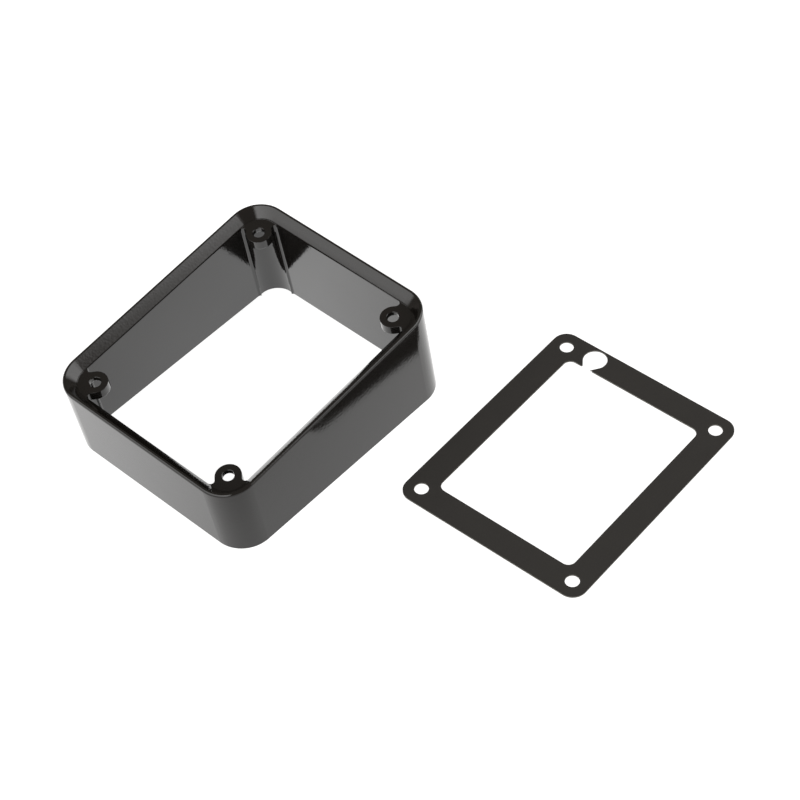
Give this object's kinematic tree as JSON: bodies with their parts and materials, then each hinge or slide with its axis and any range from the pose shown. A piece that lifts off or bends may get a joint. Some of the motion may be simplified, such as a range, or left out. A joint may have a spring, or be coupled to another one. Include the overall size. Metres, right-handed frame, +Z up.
{
  "type": "keypad privacy shroud",
  "caption": "Wedge-shaped rectangular hood, open at both ends, with round corners, a bevelled rim and screw tabs in its inner corners, and its flat frame gasket with a notch.",
  "frame": {"origin": "centre of the shroud's slanted front face, on the surface that it stands on", "axes": "+X from the low end to the tall end, +Z up out of the front face, +Y across, away from the gasket"},
  "size_m": [0.1591, 0.1868, 0.0441],
  "materials": {
    "gloss_black_moulding": "gloss",
    "matt_black_sheet": "matt"
  },
  "bodies": {
    "root": {"shroud": "gloss_black_moulding", "gasket": "matt_black_sheet"}
  },
  "joints": []
}
